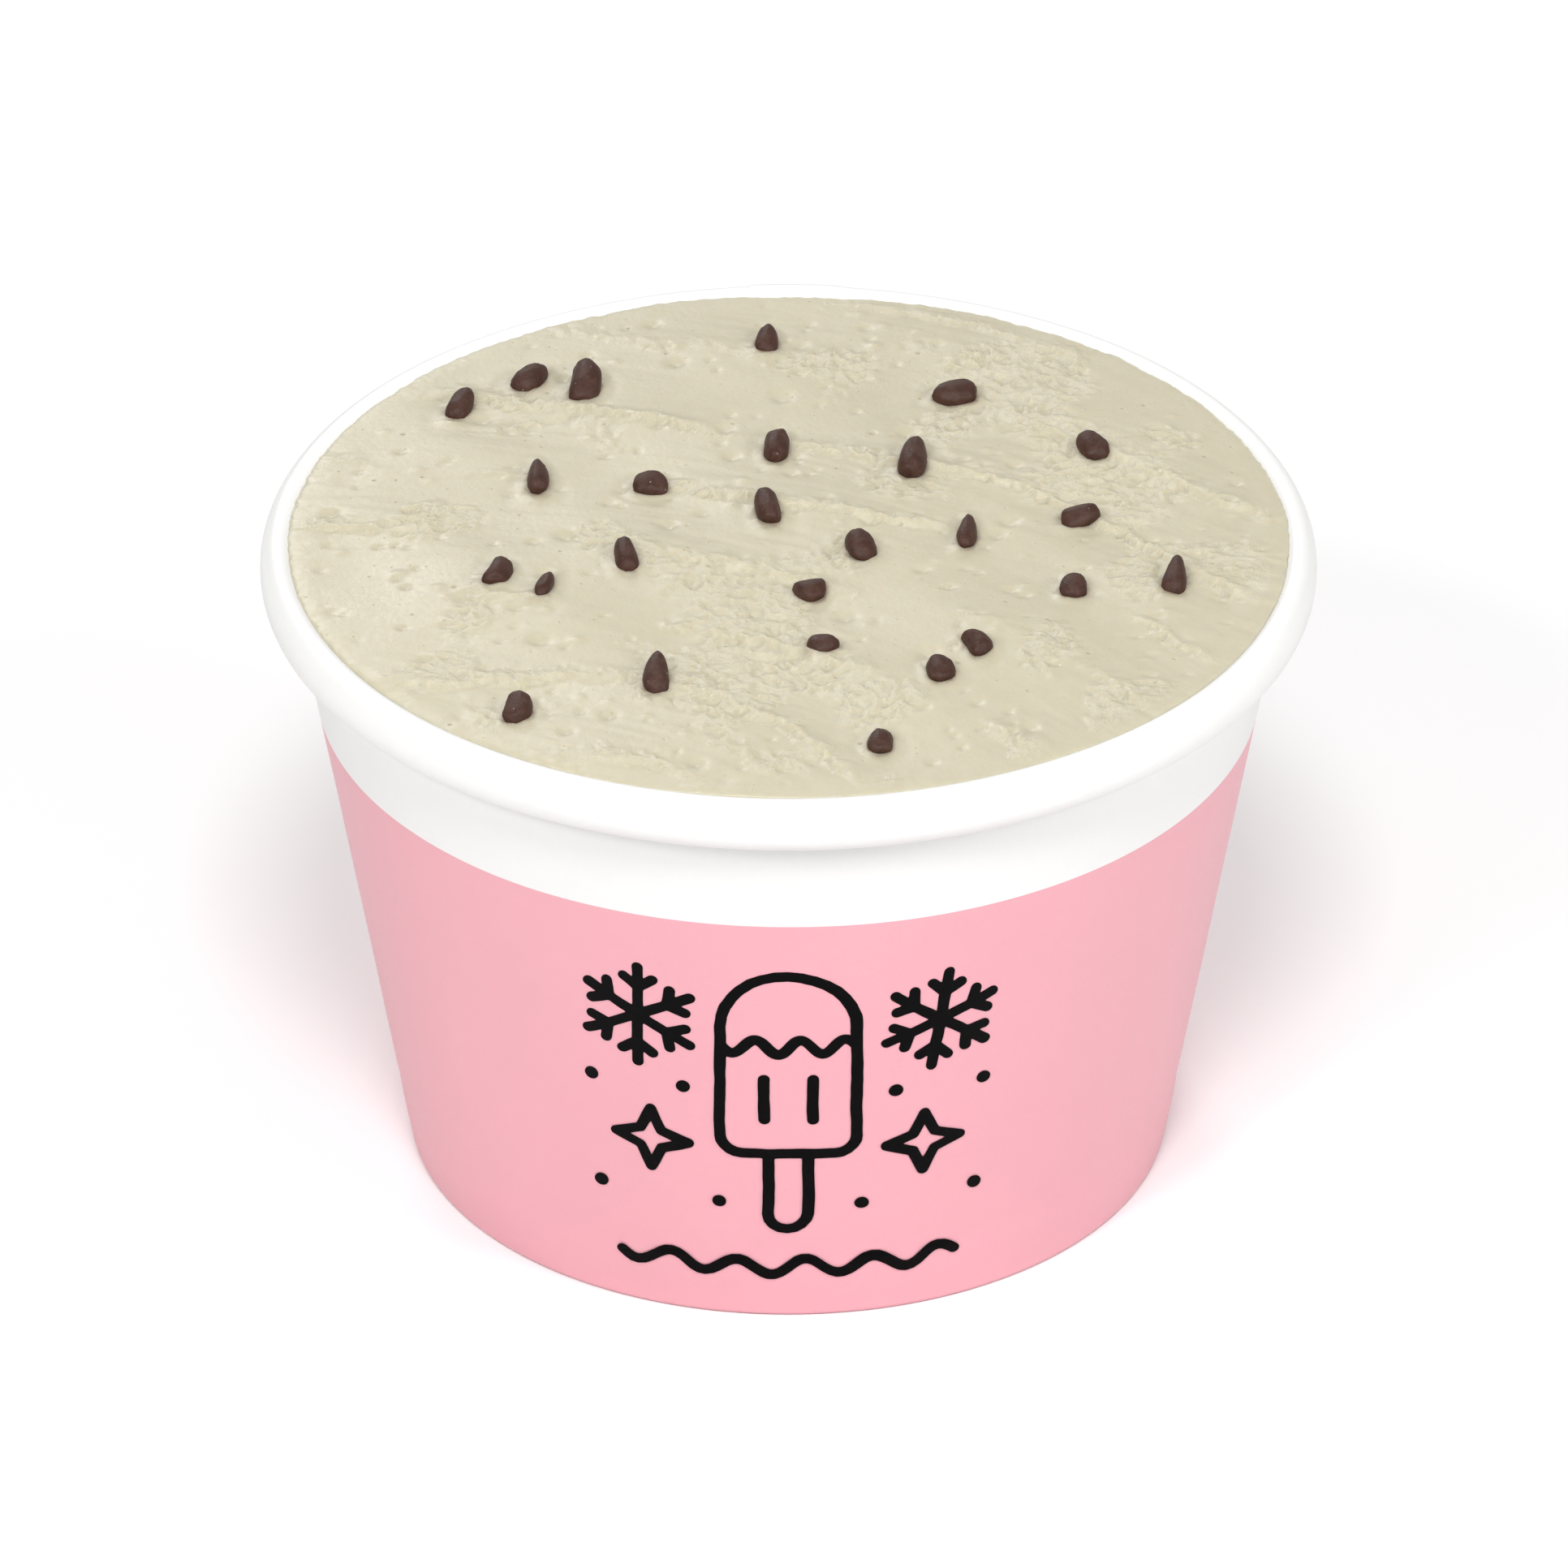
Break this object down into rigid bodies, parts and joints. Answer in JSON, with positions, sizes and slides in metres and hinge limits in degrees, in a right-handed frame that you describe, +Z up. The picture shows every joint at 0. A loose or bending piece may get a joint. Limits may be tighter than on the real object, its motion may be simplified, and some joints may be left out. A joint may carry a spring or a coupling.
{
  "type": "ice cream cup",
  "caption": "Round paper cup with a rolled rim and tapered printed wall, filled level with ice cream that is dotted with chocolate chunks.",
  "frame": {"origin": "middle of the ring that the cup stands on, at table height", "axes": "+Z up along the cup's axis, -Y towards the printed front, +X to the right of that front, glued lap of the paper at +Y"},
  "size_m": [0.096, 0.096, 0.0638],
  "materials": {
    "printed_paper": "satin",
    "white_paper": "satin",
    "ice_cream": "satin",
    "chocolate": "satin",
    "print_ink": "satin"
  },
  "bodies": {
    "root": {"sidewall": "printed_paper", "bottom_disc": "white_paper", "ice_cream": "ice_cream"}
  },
  "joints": []
}
